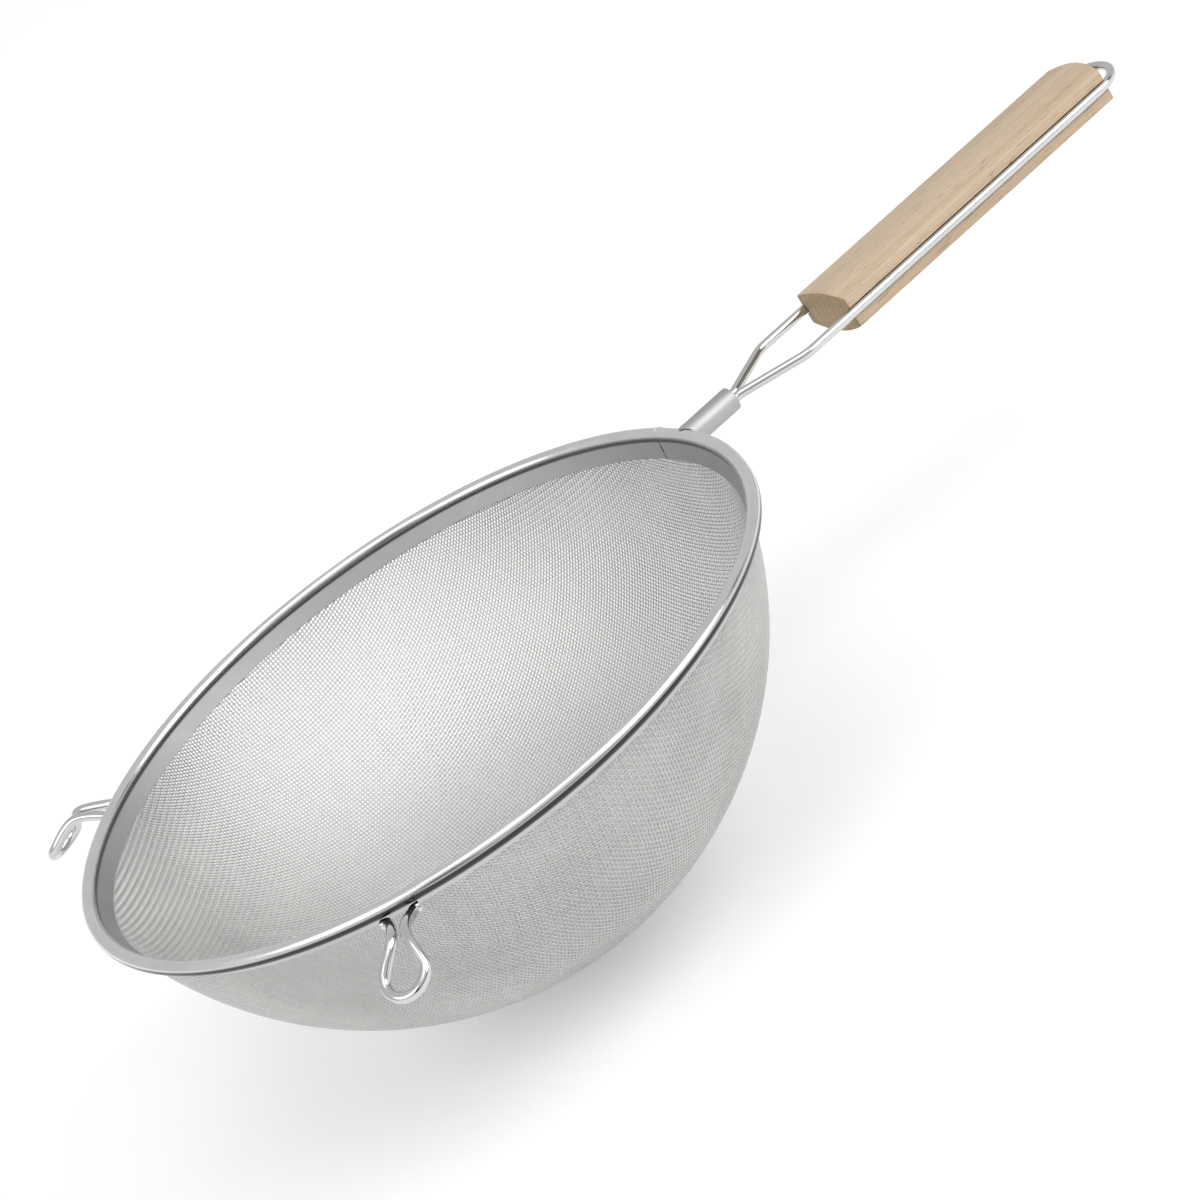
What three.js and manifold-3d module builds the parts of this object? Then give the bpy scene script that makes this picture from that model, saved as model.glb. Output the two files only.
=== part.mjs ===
// Fine mesh strainer: a wire-cloth bowl in a folded steel rim, with two rest hooks
// and a bent-wire handle that carries a wooden grip.
// Millimetres. +Z up through the bowl's mouth, +X along the handle, origin under the bowl's middle.

import * as THREE from "three";
import { ConvexGeometry } from "three/addons/geometries/ConvexGeometry.js";
import { mergeGeometries, mergeVertices } from "three/addons/utils/BufferGeometryUtils.js";
import Module from "manifold-3d";

// Rim and bowl
const RIM_DIAMETER = 262; // outside of the bead
const BOWL_DEPTH = 102; // middle of the bead down to the surface the bowl stands on
const BASE_FLAT_DIAMETER = 24; // small flat pressed into the bottom of the bowl
const CLOTH_THICKNESS = 0.9;
const CLOTH_BEND = 1.5; // reach of the bend where the cloth turns into the rim
const MESH_ACROSS = 10; // openings across the bowl, an even number; a coarse stand-in for the fine weave
const MESH_WIRE_SHARE = 0.28; // of each opening's pitch, as in the fine weave
const MESH_LEAST_OPENING = 0.25; // share of a pitch that a part opening along the hem has left
const HOOP_WIRE = 3.4; // wire inside the rolled bead
const BAND_SHEET = 0.5;
const INNER_FLANGE = 5.5; // below the bead, inside the bowl
const OUTER_FLANGE = 3.2; // below the bead, outside the bowl
const BAND_TILT = 35; // degrees the strip leans out from upright
const SEAM_ANGLE = 6.5; // degrees round from the handle
const SEAM_GAP = 0.5;

// Rest hooks
const HOOK_WIRE = 3.5;
const HOOK_RISE = 10; // degrees the legs climb
const HOOK_TAIL = 19.3; // loop, from the neck to the tip
const HOOK_SLOPE = 34; // degrees the loop falls
const HOOK_FOOT_SPREAD = 13.2; // between the turned-out wire ends
const HOOK_FOOT_BEND = 2.5; // bend radius where the legs turn out along the rim
const HOOK_NECK_WIDTH = 5; // between wire centres where the legs come closest
const HOOK_LOOP_WIDTH = 14.5; // between wire centres at the widest

// What differs between the hooks, which are bent by hand
const HOOK_LEFT = {
  angle: 125.3, // degrees round from the handle
  reach: 20.5, // legs, from the rim to the neck
  shift: 0, // of the neck to one side
  lean: 2, // degrees the loop turns about upright
  twist: 12, // degrees the loop turns about its length
};
const HOOK_RIGHT = { angle: 233, reach: 18, shift: 2.1, lean: -9, twist: 0 };

// Handle
const HANDLE_DROP = 1.5; // degrees below level
const HANDLE_LOWER = 1.5; // handle axis below the middle of the bead, at the rim
const HANDLE_WIRE = 3.5;
const SLEEVE_SHEET = 0.5;
const SLEEVE_LENGTH = 20; // from the outside of the rim
const SPREAD_LEAD = 2.5; // from the sleeve to where the wires part
const SPREAD_LENGTH = 23; // along which they part
const SPREAD_BEND = 3; // how far each bend reaches to either side of its corner
const GRIP_SETBACK = 22.5; // from the end of the Y to the grip
const LOOP_GAP = 6.3; // hanging gap between the grip's nose and the wire

// Grip
const GRIP_WIDTH = 30;
const GRIP_SIDE = 11.6; // height of the side faces
const GRIP_CROWN = 1.8; // rise of the rounded top face
const GRIP_BELLY = 2.8; // fall of the rounded underside
const GRIP_STRAIGHT = 130.2;
const GRIP_NOSE = 2.8; // blunt wedge beyond the straight sides
const GRIP_NOSE_RADIUS = 30; // of the wedge's rounded tip

// Space left between pieces that touch
const FIT_GAP = 0.3;

// Fineness
const RING_STEPS = 64;
const BOWL_SIDES = 32;
const BOWL_STEPS = 6;
const BEAD_STEPS = 9;
const HOOP_SIDES = 6;
const WIRE_SIDES = 10;
const HOOK_SIDES = 8;
const HOOK_STEPS = 44;
const BEND_STEPS = 5;
const LOOP_STEPS = 14;
const GRIP_STEPS = 12;
const SLEEVE_SIDES = 24;

// Derived sizes
const rad = THREE.MathUtils.degToRad;
const beadInside = HOOP_WIRE / 2 + FIT_GAP;
const beadRadius = beadInside + BAND_SHEET;
const beadCircle = RIM_DIAMETER / 2 - beadRadius;
const flangeInside = CLOTH_THICKNESS / 2 + FIT_GAP;
const flangeOutside = flangeInside + BAND_SHEET;
const gripEnd = GRIP_STRAIGHT + GRIP_NOSE;
const wirePairOffset = (HANDLE_WIRE + FIT_GAP) / 2;
const sleeveBore = wirePairOffset + HANDLE_WIRE / 2 + FIT_GAP;
const spreadStart = SLEEVE_LENGTH + SPREAD_LEAD;
const spreadEnd = spreadStart + SPREAD_LENGTH;
const gripStart = spreadEnd + GRIP_SETBACK;

// The folded strip leans out from its lower edge, the lip, up to the bead.
const bandTilt = rad(BAND_TILT);
const stripLength = beadRadius + INNER_FLANGE;
const lipRadius = beadCircle - stripLength * Math.sin(bandTilt);
const lipHeight = -stripLength * Math.cos(bandTilt);

// Below the lip the cloth's middle surface is a sphere, through the lip and the edge of the base flat.
const baseFlat = BASE_FLAT_DIAMETER / 2;
const clothDepth = BOWL_DEPTH - CLOTH_THICKNESS / 2;
const lipToBase = lipRadius ** 2 + lipHeight ** 2 - baseFlat ** 2 - clothDepth ** 2;
const sphereHeight = lipToBase / (2 * (clothDepth + lipHeight));
const sphereRadius = Math.hypot(lipRadius, sphereHeight - lipHeight);
const lipAngle = Math.acos((sphereHeight - lipHeight) / sphereRadius); // from straight down
const baseAngle = Math.asin(baseFlat / sphereRadius);
const bendAngle = CLOTH_BEND / sphereRadius;
const hemAngle = lipAngle - 2 * bendAngle; // the openings stop here, under a plain hem

const steel = { color: 0xb9bab6, metalness: 1, roughness: 0.28 };
const materials = {
  cloth: new THREE.MeshStandardMaterial({ color: 0xc4c4c1, metalness: 0.9, roughness: 0.45 }),
  band: new THREE.MeshStandardMaterial(steel),
  wire: new THREE.MeshStandardMaterial({ ...steel, roughness: 0.2 }),
  wood: new THREE.MeshStandardMaterial({ color: 0xc3ac8f, metalness: 0, roughness: 0.6 }),
};

const wasm = await Module();
wasm.setup();

// A closed mesh with shared corners, ready to be cut or joined.
function toSolid(geometry) {
  const bare = geometry.clone();
  bare.deleteAttribute("normal");
  bare.deleteAttribute("uv");
  const merged = mergeVertices(bare, 1e-4);
  const vertProperties = new Float32Array(merged.attributes.position.array);
  const triVerts = new Uint32Array(merged.index.array);
  return new wasm.Manifold(new wasm.Mesh({ numProp: 3, vertProperties, triVerts }));
}

function toGeometry(solid) {
  const mesh = solid.getMesh();
  const geometry = new THREE.BufferGeometry();
  geometry.setAttribute("position", new THREE.BufferAttribute(mesh.vertProperties, 3));
  geometry.setIndex(new THREE.BufferAttribute(mesh.triVerts, 1));
  geometry.computeVertexNormals();
  return geometry;
}

// A path that steps through its own points, so that bends get many steps and straight runs few.
class SteppedPath extends THREE.Curve {
  constructor(points) {
    super();
    this.points = points;
  }

  getSpacedPoints() {
    return this.points;
  }

  getTangentAt(u, target = new THREE.Vector3()) {
    const last = this.points.length - 1;
    const index = Math.round(u * last);
    const before = this.points[Math.max(index - 1, 0)];
    const after = this.points[Math.min(index + 1, last)];
    return target.subVectors(after, before).normalize();
  }
}

function sweep(outline, points) {
  const shape = new THREE.Shape(outline);
  const extrudePath = new SteppedPath(points);
  return new THREE.ExtrudeGeometry(shape, { steps: points.length - 1, extrudePath });
}

function arc(x, y, radius, from, to, steps) {
  return new THREE.EllipseCurve(x, y, radius, radius, from, to, to < from).getPoints(steps);
}

function roundWire(points, radius, sides) {
  const circle = arc(0, 0, radius, 0, 2 * Math.PI, sides).slice(0, sides);
  return sweep(circle, points);
}

// Radius and height, from the bead's middle, of a point on the bowl's wall:
// an angle from straight down, and an offset outward from the cloth's middle.
function wallPoint(angle, offset) {
  const reach = sphereRadius + offset;
  return new THREE.Vector2(reach * Math.sin(angle), sphereHeight - reach * Math.cos(angle));
}

// The same for a point on the leaning strip, at a distance down from the bead's middle.
function stripPoint(distance, offset) {
  const radius = beadCircle - distance * Math.sin(bandTilt) + offset * Math.cos(bandTilt);
  return new THREE.Vector2(radius, -distance * Math.cos(bandTilt) - offset * Math.sin(bandTilt));
}

// The bead's section, whose throat faces down the strip.
function beadArc(radius, offset, steps) {
  const throat = Math.acos(offset / radius);
  return arc(beadCircle, 0, radius, -bandTilt - throat, Math.PI + throat - bandTilt, steps);
}

// Closed body turned about the bowl's axis, from radius and height at the bead's level.
function turned(profile, steps = RING_STEPS) {
  const phase = rad(SEAM_ANGLE) + Math.PI / 2;
  const geometry = new THREE.LatheGeometry(profile, steps, phase);
  geometry.rotateX(Math.PI / 2);
  geometry.translate(0, 0, BOWL_DEPTH);
  return geometry;
}

// One face of the cloth's bowl, from its middle over the flat and up the wall into the hem.
function bowlFace(offset) {
  const points = [new THREE.Vector2(0, -clothDepth - offset)];
  for (let i = 0; i <= BOWL_STEPS; i += 1) {
    const angle = THREE.MathUtils.lerp(baseAngle, hemAngle + bendAngle, i / BOWL_STEPS);
    points.push(wallPoint(angle, offset));
  }
  points[1].y = points[0].y;
  return points;
}

// One face of the cloth's plain edge, from the hem up between the flanges into the bead.
function hemFace(offset) {
  return [
    wallPoint(hemAngle, offset),
    wallPoint(lipAngle - bendAngle, offset),
    stripPoint(stripLength - CLOTH_BEND, offset),
    stripPoint(beadInside, offset),
  ];
}

// Directions from the sphere's middle to the crossings of a square weave, over a quarter of the bowl.
// Two wires cross at the bottom, and every further crossing closes a rhombus of equal sides.
function weaveQuarter(count, step) {
  const crossings = [];
  for (let i = 0; i <= count; i += 1) {
    crossings.push([]);
    for (let j = 0; j <= count; j += 1) {
      if (i === 0 || j === 0) {
        const angle = (i + j) * step;
        const reach = Math.sin(angle);
        crossings[i].push(new THREE.Vector3(Math.sign(i) * reach, Math.sign(j) * reach, -Math.cos(angle)));
      } else {
        const mirror = new THREE.Vector3().crossVectors(crossings[i][j - 1], crossings[i - 1][j]).normalize();
        crossings[i].push(crossings[i - 1][j - 1].clone().reflect(mirror));
      }
    }
  }
  return crossings;
}

// A wedge through the wall for one opening, within four crossings, in all four quarters of the bowl.
function openingWedges(corners) {
  const middle = new THREE.Vector3();
  corners.forEach((corner) => middle.addScaledVector(corner, 1 / corners.length));
  const within = corners.map((corner) => corner.clone().lerp(middle, MESH_WIRE_SHARE).normalize());
  const depths = [sphereRadius - 3 * CLOTH_THICKNESS, sphereRadius + 3 * CLOTH_THICKNESS];
  const points = depths.flatMap((depth) => within.map((p) => p.clone().multiplyScalar(depth)));
  const quarters = [[1, 1], [-1, 1], [-1, -1], [1, -1]];
  return quarters.map(([x, y]) => {
    const turnedPoints = points.map((p) => new THREE.Vector3(p.x * x, p.y * y, p.z));
    return new ConvexGeometry(turnedPoints).translate(0, 0, BOWL_DEPTH + sphereHeight);
  });
}

// Every opening of the coarse weave, kept below a plain hem under the rim.
function meshOpenings() {
  const count = MESH_ACROSS / 2;
  const pitch = lipAngle / count;
  const lastStart = hemAngle - (MESH_WIRE_SHARE + MESH_LEAST_OPENING) * pitch;
  const crossings = weaveQuarter(count, pitch);
  const wedges = [];
  for (let i = 0; i < count; i += 1) {
    for (let j = 0; j < count; j += 1) {
      const corners = [crossings[i][j], crossings[i + 1][j], crossings[i + 1][j + 1], crossings[i][j + 1]];
      if (crossings[i][j].z < -Math.cos(lastStart)) {
        wedges.push(...openingWedges(corners));
      }
    }
  }
  const apex = new THREE.Vector2(0, sphereHeight);
  const hem = wallPoint(hemAngle, sphereRadius);
  const below = turned([new THREE.Vector2(0, hem.y - sphereRadius), hem, apex]);
  return toSolid(mergeGeometries(wedges)).intersect(toSolid(below));
}

function meshBowl() {
  const half = CLOTH_THICKNESS / 2;
  const bowl = turned([...bowlFace(half), ...bowlFace(-half).reverse()], BOWL_SIDES);
  const hem = turned([...hemFace(half), ...hemFace(-half).reverse(), wallPoint(hemAngle, half)]);
  return toGeometry(toSolid(bowl).subtract(meshOpenings()).add(toSolid(hem)));
}

// One face of a flange, from its lower edge up to the bead.
function flangeFace(length, offset, beadFace) {
  const top = Math.sqrt(beadFace ** 2 - offset ** 2);
  const low = beadRadius + length;
  return [stripPoint(low, offset), stripPoint((low + top) / 2, offset)];
}

// The strip's section: up the outer flange, over the bead, down the inner flange, and back inside.
function rimBand() {
  const outline = [
    ...flangeFace(OUTER_FLANGE, flangeOutside, beadRadius),
    ...beadArc(beadRadius, flangeOutside, BEAD_STEPS),
    ...flangeFace(INNER_FLANGE, -flangeOutside, beadRadius).reverse(),
    ...flangeFace(INNER_FLANGE, -flangeInside, beadInside),
    ...beadArc(beadInside, flangeInside, BEAD_STEPS - 2).reverse(),
    ...flangeFace(OUTER_FLANGE, flangeInside, beadInside).reverse(),
  ];
  // The sweep lays the outline's first axis downward and its second towards the bowl's axis.
  const section = outline.map((p) => new THREE.Vector2(-p.y, beadCircle - p.x));
  const halfGap = SEAM_GAP / 2 / beadCircle;
  const path = [];
  for (let i = 0; i <= RING_STEPS; i += 1) {
    const angle = rad(SEAM_ANGLE) + THREE.MathUtils.lerp(halfGap, 2 * Math.PI - halfGap, i / RING_STEPS);
    path.push(new THREE.Vector3(Math.cos(angle), Math.sin(angle), 0).multiplyScalar(beadCircle));
  }
  const geometry = sweep(section, path);
  geometry.translate(0, 0, BOWL_DEPTH);
  return geometry;
}

function rimHoop() {
  const geometry = new THREE.TorusGeometry(beadCircle, HOOP_WIRE / 2, HOOP_SIDES, RING_STEPS);
  geometry.rotateZ(rad(SEAM_ANGLE));
  geometry.translate(0, 0, BOWL_DEPTH);
  return geometry;
}

// One half of a hook laid flat, from its turned-out end to the tip. x is out, y is half the width.
function hookHalf(hook) {
  const tip = hook.reach + HOOK_TAIL;
  const loop = HOOK_LOOP_WIDTH / 2;
  const neck = HOOK_NECK_WIDTH / 2;
  const foot = HOOK_FOOT_SPREAD / 2;
  const footBend = arc(HOOK_FOOT_BEND, foot, HOOK_FOOT_BEND, Math.PI, 1.5 * Math.PI, 2);
  const roundLoop = arc(tip - loop, 0, loop, Math.PI / 2, 0, 3);
  return [...footBend, new THREE.Vector2(hook.reach, neck), ...roundLoop];
}

// The wire's middle line: the legs climb a little, then the loop falls, twists and leans.
// x is out from the rim, y is along it.
function hookPath(hook) {
  const half = hookHalf(hook);
  const mirrored = half.slice(0, -1).reverse().map((p) => new THREE.Vector2(p.x, -p.y));
  const upright = new THREE.Vector3(0, 0, 1);
  const inclined = (out, width, angle) =>
    new THREE.Vector3(out * Math.cos(rad(angle)), width, out * Math.sin(rad(angle)));
  const neck = inclined(hook.reach, hook.shift, HOOK_RISE);
  const loopAxis = inclined(1, 0, -HOOK_SLOPE);
  const points = [...half, ...mirrored].map((p) => {
    if (p.x <= hook.reach) {
      return inclined(p.x, p.y + hook.shift * p.x / hook.reach, HOOK_RISE);
    }
    const tail = inclined(p.x - hook.reach, p.y, -HOOK_SLOPE);
    tail.applyAxisAngle(loopAxis, rad(hook.twist));
    return tail.applyAxisAngle(upright, rad(hook.lean)).add(neck);
  });
  return new THREE.CatmullRomCurve3(points).getPoints(HOOK_STEPS);
}

// A hook whose turned-out ends lie in the crease between the bead and the outer flange.
function restHook(hook) {
  const fromBead = beadRadius + FIT_GAP + HOOK_WIRE / 2;
  const fromCloth = flangeOutside + FIT_GAP + HOOK_WIRE / 2;
  const seat = stripPoint(Math.sqrt(fromBead ** 2 - fromCloth ** 2), fromCloth);
  const geometry = roundWire(hookPath(hook), HOOK_WIRE / 2, HOOK_SIDES);
  geometry.translate(seat.x, 0, BOWL_DEPTH + seat.y);
  geometry.rotateZ(rad(hook.angle));
  return geometry;
}

// Everything inside the rim band's outer face and its clearance, for coping what butts against it.
function rimEnvelope() {
  const reach = beadRadius + FIT_GAP;
  const flange = flangeOutside + FIT_GAP;
  const throat = -bandTilt - Math.acos(flange / reach);
  const low = stripPoint(beadRadius + OUTER_FLANGE + SLEEVE_LENGTH, flange);
  return turned([
    new THREE.Vector2(0, low.y),
    low,
    ...arc(beadCircle, 0, reach, throat, Math.PI / 2, BEAD_STEPS),
    new THREE.Vector2(beadCircle, SLEEVE_LENGTH),
    new THREE.Vector2(0, SLEEVE_LENGTH),
  ]);
}

// Middle line of one side of the handle wire, from the rim to the start of the end loop.
function handleSide(side, start, loopCentre) {
  const at = (x, y) => new THREE.Vector3(x, side * y, 0);
  const corners = [
    at(start, wirePairOffset),
    at(spreadStart, wirePairOffset),
    at(spreadEnd, GRIP_WIDTH / 2),
    at(loopCentre, GRIP_WIDTH / 2),
  ];
  const reaches = [Math.min(SPREAD_BEND, SPREAD_LEAD), SPREAD_BEND];
  const points = [corners[0]];
  reaches.forEach((reach, i) => {
    const [before, corner, after] = corners.slice(i, i + 3);
    const into = before.clone().sub(corner).setLength(reach).add(corner);
    const outOf = after.clone().sub(corner).setLength(reach).add(corner);
    points.push(...new THREE.QuadraticBezierCurve3(into, corner, outOf).getPoints(BEND_STEPS));
  });
  return points;
}

function handlePath() {
  const bend = GRIP_WIDTH / 2;
  const loopCentre = gripStart + gripEnd + LOOP_GAP + HANDLE_WIRE / 2 - bend;
  const start = -2 * beadRadius;
  const loop = arc(loopCentre, 0, bend, Math.PI / 2, -Math.PI / 2, LOOP_STEPS);
  return [
    ...handleSide(1, start, loopCentre),
    ...loop.map((p) => new THREE.Vector3(p.x, p.y, 0)),
    ...handleSide(-1, start, loopCentre).reverse(),
  ];
}

function neckSleeve() {
  const outside = sleeveBore + SLEEVE_SHEET;
  const start = -2 * beadRadius;
  const ring = [
    [sleeveBore, start],
    [outside, start],
    [outside, SLEEVE_LENGTH],
    [sleeveBore, SLEEVE_LENGTH],
    [sleeveBore, start],
  ];
  const profile = ring.map(([radius, along]) => new THREE.Vector2(radius, along));
  const geometry = new THREE.LatheGeometry(profile, SLEEVE_SIDES);
  geometry.rotateZ(-Math.PI / 2);
  return geometry;
}

// Rounded face of the grip's section from one side edge to the other, above (1) or below (-1).
function roundedFace(sign, rise) {
  const half = GRIP_WIDTH / 2;
  const radius = (half ** 2 + rise ** 2) / (2 * rise);
  const spread = Math.asin(half / radius);
  const middle = sign * (GRIP_SIDE / 2 + rise - radius);
  const centre = sign * Math.PI / 2;
  return arc(0, middle, radius, centre - spread, centre + spread, GRIP_STEPS);
}

// The grip seen from above: straight sides, then flanks that run straight into a rounded tip.
function gripPlan() {
  const half = GRIP_WIDTH / 2;
  const tipCentre = gripEnd - GRIP_NOSE_RADIUS;
  const toCorner = Math.hypot(GRIP_STRAIGHT - tipCentre, half);
  const cornerAngle = Math.atan2(half, GRIP_STRAIGHT - tipCentre);
  const spread = cornerAngle - Math.acos(GRIP_NOSE_RADIUS / toCorner);
  return new THREE.Shape([
    new THREE.Vector2(-GRIP_SIDE, half),
    new THREE.Vector2(-GRIP_SIDE, -half),
    new THREE.Vector2(GRIP_STRAIGHT, -half),
    ...arc(tipCentre, 0, GRIP_NOSE_RADIUS, -spread, spread, GRIP_STEPS),
    new THREE.Vector2(GRIP_STRAIGHT, half),
  ]);
}

// The grip's section run along its length, trimmed to its plan, with the wire's grooves cut.
function woodGrip() {
  const height = GRIP_SIDE + GRIP_CROWN + GRIP_BELLY;
  const section = new THREE.Shape([...roundedFace(-1, GRIP_BELLY), ...roundedFace(1, GRIP_CROWN)]);
  const bar = new THREE.ExtrudeGeometry(section, { depth: gripEnd, bevelEnabled: false });
  const lengthwise = new THREE.Matrix4().makeBasis(
    new THREE.Vector3(0, 1, 0),
    new THREE.Vector3(0, 0, 1),
    new THREE.Vector3(1, 0, 0),
  );
  bar.applyMatrix4(lengthwise);

  const trim = new THREE.ExtrudeGeometry(gripPlan(), { depth: 2 * height, bevelEnabled: false });
  trim.translate(0, 0, -height);

  const groove = roundWire(handlePath(), HANDLE_WIRE / 2 + FIT_GAP, WIRE_SIDES + 2);
  groove.translate(-gripStart, 0, 0);
  const blank = toSolid(bar).intersect(toSolid(trim));
  return toGeometry(blank.subtract(toSolid(groove)));
}

function piece(name, geometry, material) {
  const mesh = new THREE.Mesh(geometry, material);
  mesh.name = name;
  return mesh;
}

const strainer = new THREE.Group();
strainer.add(piece("mesh_bowl", meshBowl(), materials.cloth));
strainer.add(piece("rim_band", rimBand(), materials.band));
strainer.add(piece("rim_hoop_wire", rimHoop(), materials.wire));
strainer.add(piece("rest_hook_left", restHook(HOOK_LEFT), materials.wire));
strainer.add(piece("rest_hook_right", restHook(HOOK_RIGHT), materials.wire));

// The handle hangs a little below level from the rim, so its pieces share a turned group.
const handle = new THREE.Group();
handle.position.set(RIM_DIAMETER / 2, 0, BOWL_DEPTH - HANDLE_LOWER);
handle.rotation.y = rad(HANDLE_DROP);
handle.updateMatrix();
const rim = toSolid(rimEnvelope().applyMatrix4(handle.matrix.clone().invert()));
const coped = (geometry) => toGeometry(toSolid(geometry).subtract(rim));
const wire = roundWire(handlePath(), HANDLE_WIRE / 2, WIRE_SIDES);
handle.add(piece("handle_wire", coped(wire), materials.wire));
handle.add(piece("neck_sleeve", coped(neckSleeve()), materials.band));
const grip = piece("wood_grip", woodGrip(), materials.wood);
grip.position.x = gripStart;
handle.add(grip);
strainer.add(handle);

export default strainer;
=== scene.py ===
"""Looks of the fine mesh strainer: woven wire cloth, folded rim, bent wires and a wooden grip.

Sizes are in millimetres and in the part's own frame, until a piece's mesh is made in metres. Angles are
in degrees.
"""

import math

import bpy
import numpy as np
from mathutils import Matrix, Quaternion, Vector


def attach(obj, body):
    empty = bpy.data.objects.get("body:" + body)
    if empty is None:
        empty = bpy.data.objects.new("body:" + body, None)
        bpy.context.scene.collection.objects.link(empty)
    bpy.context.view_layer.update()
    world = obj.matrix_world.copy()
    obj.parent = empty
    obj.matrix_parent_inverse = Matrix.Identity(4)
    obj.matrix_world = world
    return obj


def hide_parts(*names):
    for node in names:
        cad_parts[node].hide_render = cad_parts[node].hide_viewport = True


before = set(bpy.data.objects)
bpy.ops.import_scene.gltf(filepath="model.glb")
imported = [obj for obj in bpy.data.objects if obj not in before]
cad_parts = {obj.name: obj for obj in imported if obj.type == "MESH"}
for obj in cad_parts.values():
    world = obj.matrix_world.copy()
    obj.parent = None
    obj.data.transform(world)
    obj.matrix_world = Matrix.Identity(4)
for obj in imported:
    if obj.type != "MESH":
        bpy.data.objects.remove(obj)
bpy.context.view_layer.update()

MM = 0.001

# Rim and bowl, as in the solid model
RIM_DIAMETER = 262
BOWL_DEPTH = 102
BASE_FLAT_DIAMETER = 24
CLOTH_THICKNESS = 0.9
CLOTH_BEND = 1.5
HOOP_WIRE = 3.4
BAND_SHEET = 0.5
INNER_FLANGE = 5.5
OUTER_FLANGE = 3.2
BAND_TILT = 35
SEAM_ANGLE = 6.5
FIT_GAP = 0.3

# Rest hooks
HOOK_WIRE = 3.5
HOOK_RISE = 10
HOOK_TAIL = 19.3
HOOK_SLOPE = 34
HOOK_FOOT_SPREAD = 13.2
HOOK_FOOT_BEND = 2.5
HOOK_NECK_WIDTH = 5
HOOK_LOOP_WIDTH = 14.5

# What differs between the hooks, which are bent by hand
HOOK_LEFT = {"angle": 125.3, "reach": 20.5, "shift": 0, "lean": 2, "twist": 12}
HOOK_RIGHT = {"angle": 233, "reach": 18, "shift": 2.1, "lean": -9, "twist": 0}

# Handle
HANDLE_DROP = 1.5
HANDLE_LOWER = 1.5
HANDLE_WIRE = 3.5
SLEEVE_SHEET = 0.5
SLEEVE_LENGTH = 20
SPREAD_LEAD = 2.5
SPREAD_LENGTH = 23
SPREAD_BEND = 3
GRIP_SETBACK = 22.5
LOOP_GAP = 6.3

# Grip
GRIP_WIDTH = 30
GRIP_SIDE = 11.6
GRIP_CROWN = 1.8
GRIP_BELLY = 2.8
GRIP_STRAIGHT = 130.2
GRIP_NOSE = 2.8
GRIP_NOSE_RADIUS = 30

# Details that only the looks carry
MESH_PITCH = 1.3  # between neighbouring wires of the cloth
MESH_WIRE = 0.48  # thickness of the cloth's wires
MESH_CORNER = 0.56  # from a wire's middle to its four corners, as a share of its thickness
MESH_END = 2.4  # the cloth stops this far down the strip from the bead's middle
SEAM_GAP = 0.1  # between the strip's ends at the bead, narrower than in the solid model
SEAM_SLANT = 5.5  # how far the seam leans along the rim, from the bead down to the flange's edge
SEAM_OPEN = 1.5  # how much wider it is at the flange's edge
SEAM_REACH = 25  # how far along the rim the slant fades
SEAM_LIP = 0.6  # how far the strip's ends stand out at the seam
SEAM_LIP_REACH = 1.5  # how far along the rim that lip fades
RIM_SWAY = ((0.10, 3, 0.6), (0.06, 7, 2.0))  # the rim's waves outward: height, number, start in radians
RIM_SAG = ((0.08, 4, 1.1),)  # the same, upward
EDGE_ROUND = 0.5  # worn edges of the grip
SLEEVE_SLIT = 0.4  # where the rolled sleeve's edges meet, underneath

# Painted shade round the rim's section, as shares of the sheet's own tone
UNDERSIDE_PAINTED_SHADE = 0.07  # painted shade on the bead's underside
CREASE_PAINTED_SHADE = 0.25  # painted shade in the crease between the bead and the inner flange
FLANGE_PAINTED_SHADE = 0.52  # painted shade on the inner flange, which darkens its reflection
OUTER_PAINTED_SHADE = 0.75  # painted shade on the outer flange
FLANGE_DULL = 0.35  # how much rougher the inner flange is than the bead
BEAD_BRIGHT = (158, 18)  # where the bead's full tone, without painted shade, starts and ends, up from straight out
BEAD_SHADE_FULL = (178, 0)  # where it has faded to the crease's painted shade and to the underside's
CREASE_REACH = 0.5  # how far the crease's painted shade fades over the inner flange
UNDER_REACH = 0.5  # how far the underside's painted shade runs on over the outer flange
OUTER_REACH = 1.2  # where the outer flange's painted shade is full

# Colours of the cloth and the wood, from dark to light
CLOTH_TONES = ((0.65, 0.65, 0.64), (0.72, 0.72, 0.71))
WOOD_BANDS = ((0.45, 0.335, 0.22), (0.52, 0.40, 0.275), (0.57, 0.445, 0.315))
WOOD_END_GRAIN = ((0.32, 0.22, 0.11), (0.43, 0.31, 0.175))

# Numbers of steps, points and sides in the meshes
CLOTH_PARTS = 4  # pieces that share the wires of one direction
RIM_STEPS = 480
OUTER_STEPS = 4
BEAD_STEPS = 36
INNER_STEPS = 6
HIDDEN_FLANGE_STEPS = 3
HIDDEN_BEAD_STEPS = 16
HOOK_STEPS = 24  # between two points of a hook's line
HOOK_SIDES = 20
HANDLE_SIDES = 24
LEAD_POINTS = 24
FORK_STEPS = 10
SHOULDER_STEPS = 14
STRAIGHT_POINTS = 90
LOOP_STEPS = 60
SLEEVE_STEPS = 64
BORE_STEPS = 48
GRIP_FACE_STEPS = 12
GRIP_CORNER_STEPS = 5
GRIP_SIDE_POINTS = 5
GROOVE_STEPS = 10
GRIP_SLICES = 32
NOSE_RINGS = 9
WALL_STEPS = 12

# Photograph's camera, in metres and degrees
CAMERA_PLACE = (-0.38148, -1.20736, 0.63744)
CAMERA_AIM = (0.07047, 0.0, 0.07961)
CAMERA_ROLL = 35.263
CAMERA_LENS = 126.665  # millimetres
CAMERA_SENSOR = 36  # millimetres

# Studio, in metres
FLOOR_SIZE = 24
LAMP_DISTANCE = 4
WALL_DISTANCE = 2.2  # for the dark walls that the steel mirrors
FLOOR_TONE = 0.96
FLOOR_LIFT = 0.06  # added where the floor is seen, so that it is white
WALL_TONE = 0.02
MATT_ROUGHNESS = 0.9
DOME_STRENGTH = 0.68

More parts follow.
